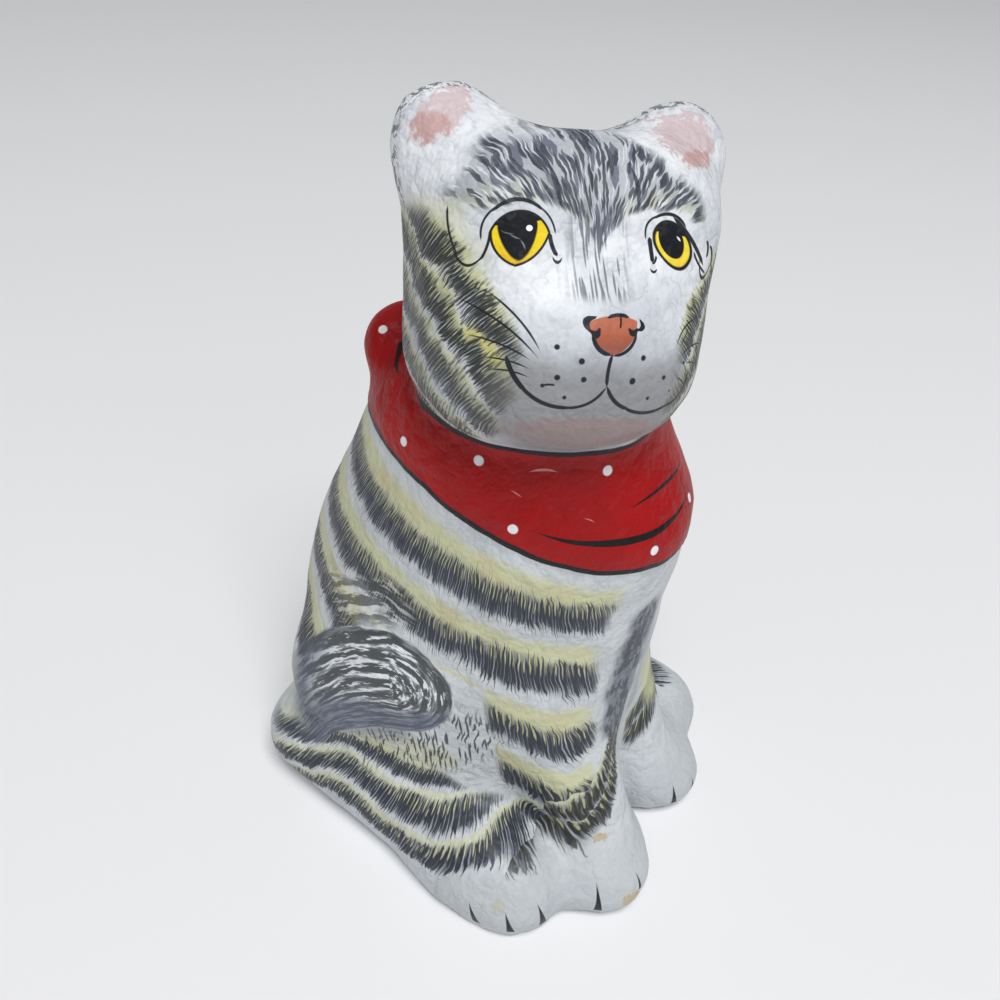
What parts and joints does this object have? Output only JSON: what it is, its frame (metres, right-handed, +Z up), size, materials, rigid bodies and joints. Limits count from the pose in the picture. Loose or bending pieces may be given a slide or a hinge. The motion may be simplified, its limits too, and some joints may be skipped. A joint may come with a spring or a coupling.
{
  "type": "cat figurine",
  "caption": "Sitting papier-mache cat with its head turned to its right and a knotted neckerchief, painted as a grey tabby.",
  "frame": {"origin": "centre of the box round the cat, at the underside", "axes": "+Z up; the body faces -Y, and the cat's own right side is -X"},
  "size_m": [0.1315, 0.1538, 0.2505],
  "materials": {
    "painted_paper": "satin varnish over paint"
  },
  "bodies": {
    "root": {"cat": "painted_paper"}
  },
  "joints": []
}
